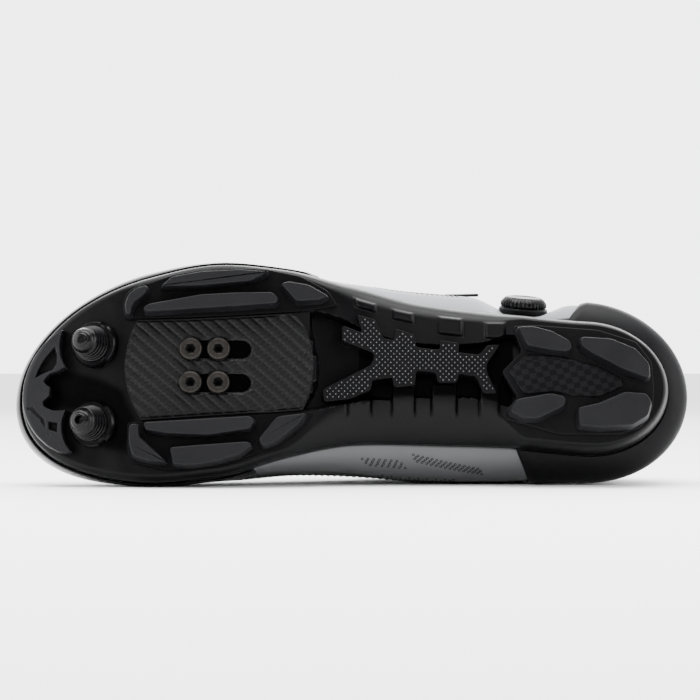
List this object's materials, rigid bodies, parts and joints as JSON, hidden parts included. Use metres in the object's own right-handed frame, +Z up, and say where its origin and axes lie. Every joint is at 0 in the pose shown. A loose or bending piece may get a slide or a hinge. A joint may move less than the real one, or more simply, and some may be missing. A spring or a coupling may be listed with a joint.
{
  "type": "cycling shoe",
  "caption": "Left off-road cycling shoe lying on its inner side: silver upper, black lugged sole with toe studs, cleat plate and lace dial",
  "frame": {"origin": "on the floor, under the middle of the shoe's box, with the shoe lying on its medial (inner) side", "axes": "X along the shoe, +X to the heel; the sole faces -Y; +Z up, toward the shoe's lateral side"},
  "size_m": [0.2832, 0.112, 0.0933],
  "materials": {
    "upper": "silver grey coated microfibre, an artificial leather with a fine grain",
    "overlay": "black moulded film, satin to gloss",
    "sole": "black moulded nylon, satin",
    "tread": "black rubber, matt with glossy edges",
    "plate": "black with a braided carbon look",
    "stud": "black, polished",
    "dial": "black, satin to gloss",
    "tongue": "black open mesh over foam",
    "insole": "dark grey brushed cloth over foam",
    "bolts": "dull steel",
    "lace": "black braided cord"
  },
  "bodies": {
    "root": {"upper": "upper", "sole_shell": "sole", "insole": "insole", "tongue": "tongue", "heel_counter": "overlay", "toe_rand": "overlay", "tread_lateral": "tread", "tread_medial": "tread", "tread_heel": "tread", "tread_toe": "tread", "heel_panel": "plate", "arch_web": "sole", "cleat_plate": "plate", "cleat_bolt_1": "bolts", "cleat_bolt_2": "bolts", "cleat_bolt_3": "bolts", "cleat_bolt_4": "bolts", "toe_stud_lateral": "stud", "toe_stud_medial": "stud", "dial_base": "dial", "dial_knob": "dial", "lace_guide_lateral_upper": "dial", "lace_guide_medial_upper": "dial", "lace_guide_medial_lower": "dial", "lace_guide_lateral_lower": "dial", "lace": "lace"}
  },
  "joints": []
}
